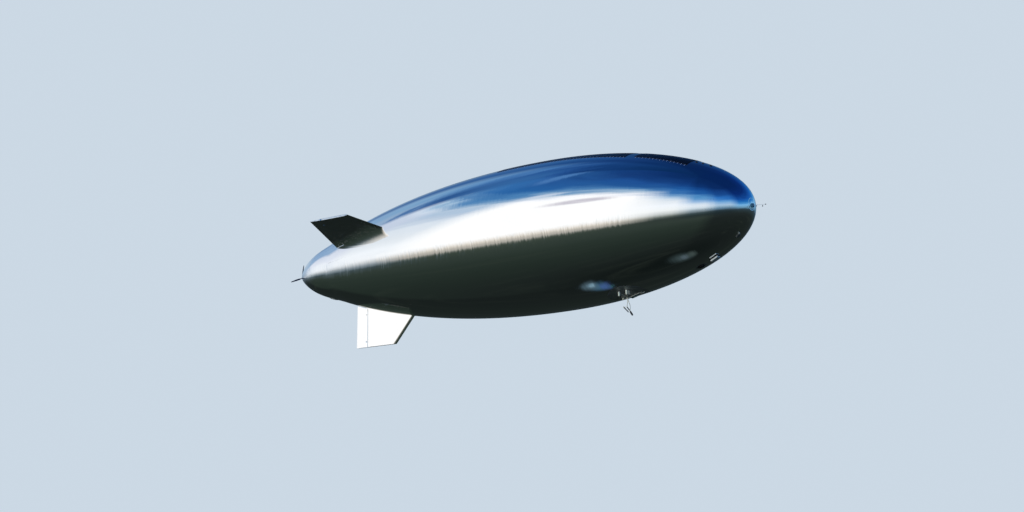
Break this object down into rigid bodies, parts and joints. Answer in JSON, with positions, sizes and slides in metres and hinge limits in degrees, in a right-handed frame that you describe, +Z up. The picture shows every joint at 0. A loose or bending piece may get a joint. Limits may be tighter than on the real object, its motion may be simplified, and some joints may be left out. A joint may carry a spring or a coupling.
{
  "type": "high-altitude solar airship, 1:2 scale model",
  "caption": "High-altitude solar airship with a mirror-film hull, fins with hinged surfaces, a steerable stern propeller and a belly gondola, at half real size.",
  "frame": {"origin": "on the hull's axis at mid-length, where the air around it holds it up", "axes": "+X along the hull to the nose, +Y to port, +Z up"},
  "size_m": [33.8468, 9.2, 10.1799],
  "materials": {
    "mirror_film": "bright metallised film, fine girth wrinkles",
    "fin_film": "bright metallised film over a stiff fin",
    "flap_film": "bright metallised film",
    "cap_film": "bright film over a stiff cap",
    "solar_cells": "dark navy cells under clear film",
    "dark_fitting": "satin dark",
    "probe_metal": "grey anodised",
    "fork_metal": "grey anodised",
    "motor_shell": "satin dark grey",
    "blade_carbon": "dark blue-grey laminate",
    "white_tube": "satin off-white",
    "white_canister": "satin off-white",
    "dark_carbon": "dark laminate",
    "grey_foot": "near black, matt",
    "pale_housing": "satin pale grey",
    "valve_rubber": "black, matt"
  },
  "bodies": {
    "hull": {"envelope": "mirror_film", "nose_cap": "cap_film", "nose_disc": "dark_fitting", "nose_probe": "probe_metal", "tail_cone": "cap_film", "tail_fork": "fork_metal", "fin_lower": "fin_film", "fin_upper_starboard": "fin_film", "fin_upper_port": "fin_film", "solar_array_aft": "solar_cells", "solar_array_fore": "solar_cells", "gondola_frame": "white_tube", "canister_aft": "white_canister", "canister_mid": "white_canister", "canister_fore": "white_canister", "sensor_pod": "white_canister", "keel_boom": "dark_carbon", "gondola_legs": "white_tube", "skid_bar_aft": "dark_carbon", "skid_bar_fore": "dark_carbon", "skid_foot": "grey_foot", "belly_box": "pale_housing", "belly_valve": "valve_rubber", "nose_eye": "pale_housing", "tail_vent": "dark_fitting"},
    "tail_motor": {"tail_motor": "motor_shell"},
    "propeller": {"propeller": "blade_carbon"},
    "rudder_lower": {"rudder_lower": "flap_film"},
    "ruddervator_starboard": {"ruddervator_starboard": "flap_film"},
    "ruddervator_port": {"ruddervator_port": "flap_film"}
  },
  "joints": [
    {"name": "motor_yaw", "type": "hinge", "parent": "hull", "child": "tail_motor", "pos_m": [-16.17, 0, 0], "axis": [0, 0, 1], "range_deg": [-7, 63]},
    {"name": "propeller_spin", "type": "hinge", "parent": "tail_motor", "child": "propeller", "pos_m": [-16.27154, 0.05399, 0], "axis": [-0.8829, 0.4695, 0], "continuous": true},
    {"name": "rudder_lower_hinge", "type": "hinge", "parent": "hull", "child": "rudder_lower", "pos_m": [-11.5828, 0, -3.785], "axis": [-0.0797, 0, -0.9968], "range_deg": [-25, 25]},
    {"name": "ruddervator_starboard_hinge", "type": "hinge", "parent": "hull", "child": "ruddervator_starboard", "pos_m": [-11.5828, -3.27791, 1.8925], "axis": [-0.0797, -0.8633, 0.4984], "range_deg": [-25, 25]},
    {"name": "ruddervator_port_hinge", "type": "hinge", "parent": "hull", "child": "ruddervator_port", "pos_m": [-11.5828, 3.27791, 1.8925], "axis": [-0.0797, 0.8633, 0.4984], "range_deg": [-25, 25]}
  ]
}
